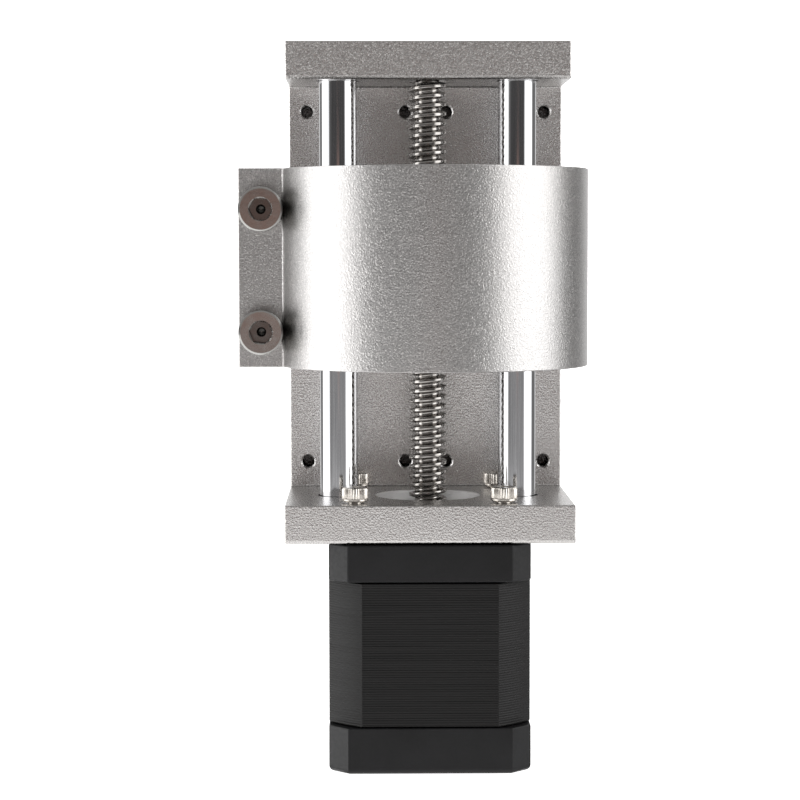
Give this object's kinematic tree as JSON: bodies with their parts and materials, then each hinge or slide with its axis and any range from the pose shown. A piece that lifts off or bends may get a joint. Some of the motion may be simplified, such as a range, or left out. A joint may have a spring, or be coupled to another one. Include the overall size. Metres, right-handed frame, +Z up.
{
  "type": "cnc z-axis module",
  "caption": "Vertical linear axis of a small milling machine: channel frame, guide rods, lead screw on a stepper motor, and a carriage with a ring clamp for the spindle.",
  "frame": {"origin": "centre of the channel's flat back face, which bolts to the machine's gantry", "axes": "+Z up along the screw towards the end away from the motor, +X to the right seen from the front, +Y backwards out of the back face"},
  "size_m": [0.0676, 0.101, 0.152],
  "materials": {
    "frame_aluminium": "sand-blasted and anodised grey",
    "clamp_aluminium": "sand-blasted and anodised grey",
    "polished_rod": "hard chrome, polished",
    "screw_steel": "rolled stainless steel",
    "bearing_steel": "ground bearing steel",
    "plated_screws": "nickel plated",
    "black_steel": "black oxide",
    "black_casting": "cast, painted matt black",
    "black_laminations": "stacked silicon steel, painted matt black",
    "rotor_steel": "stacked silicon steel, ground",
    "magnet": "plain neodymium magnet",
    "copper_wire": "enamelled copper wire",
    "brass": "turned",
    "dark_plastic": "moulded acetal",
    "ivory_plastic": "moulded nylon"
  },
  "bodies": {
    "frame": {"frame_channel": "frame_aluminium", "guide_rod_left": "polished_rod", "guide_rod_right": "polished_rod", "rod_set_screw_top_left": "black_steel", "rod_set_screw_top_right": "black_steel", "rod_set_screw_base_left": "black_steel", "rod_set_screw_base_right": "black_steel", "top_bearing_outer_race": "bearing_steel", "top_bearing_balls": "bearing_steel", "mount_screw_front_left": "plated_screws", "mount_screw_rear_left": "plated_screws", "mount_screw_front_right": "plated_screws", "mount_screw_rear_right": "plated_screws", "motor_front_bell": "black_casting", "front_bearing_outer_race": "bearing_steel", "front_bearing_balls": "bearing_steel", "motor_stator": "black_laminations", "motor_front_insulator": "ivory_plastic", "motor_rear_insulator": "ivory_plastic", "motor_coil_1": "copper_wire", "motor_coil_2": "copper_wire", "motor_coil_3": "copper_wire", "motor_coil_4": "copper_wire", "motor_coil_5": "copper_wire", "motor_coil_6": "copper_wire", "motor_coil_7": "copper_wire", "motor_coil_8": "copper_wire", "motor_rear_bell": "black_casting", "rear_bearing_outer_race": "bearing_steel", "rear_bearing_balls": "bearing_steel", "motor_wave_washer": "bearing_steel", "case_screw_front_left": "plated_screws", "case_screw_rear_left": "plated_screws", "case_screw_front_right": "plated_screws", "case_screw_rear_right": "plated_screws", "motor_connector_socket": "ivory_plastic"},
    "screw": {"lead_screw": "screw_steel", "rotor_front_cup": "rotor_steel", "rotor_rear_cup": "rotor_steel", "rotor_magnet": "magnet", "top_bearing_inner_race": "bearing_steel", "front_bearing_inner_race": "bearing_steel", "rear_bearing_inner_race": "bearing_steel"},
    "carriage": {"spindle_clamp": "clamp_aluminium", "clamp_bolt_lower": "plated_screws", "clamp_bolt_upper": "plated_screws", "bearing_sleeve_left": "bearing_steel", "bearing_sleeve_right": "bearing_steel", "ball_cage_left": "dark_plastic", "ball_cage_right": "dark_plastic", "retaining_ring_lower_left": "black_steel", "retaining_ring_lower_right": "black_steel", "retaining_ring_upper_left": "black_steel", "retaining_ring_upper_right": "black_steel", "lead_nut": "brass", "nut_set_screw_lower": "black_steel", "nut_set_screw_upper": "black_steel"}
  },
  "joints": [
    {"name": "screw_spin", "type": "hinge", "parent": "frame", "child": "screw", "pos_m": [0, -0.027, 0], "axis": [0, 0, 1], "range_deg": [-3385, 4717]},
    {"name": "carriage_slide", "type": "slide", "parent": "frame", "child": "carriage", "axis": [0, 0, 1], "range_m": [-0.0262, 0.0188]}
  ],
  "couplings": [
    {"joint": "screw_spin", "follows": "carriage_slide", "rad_per_m": -3141.6}
  ]
}
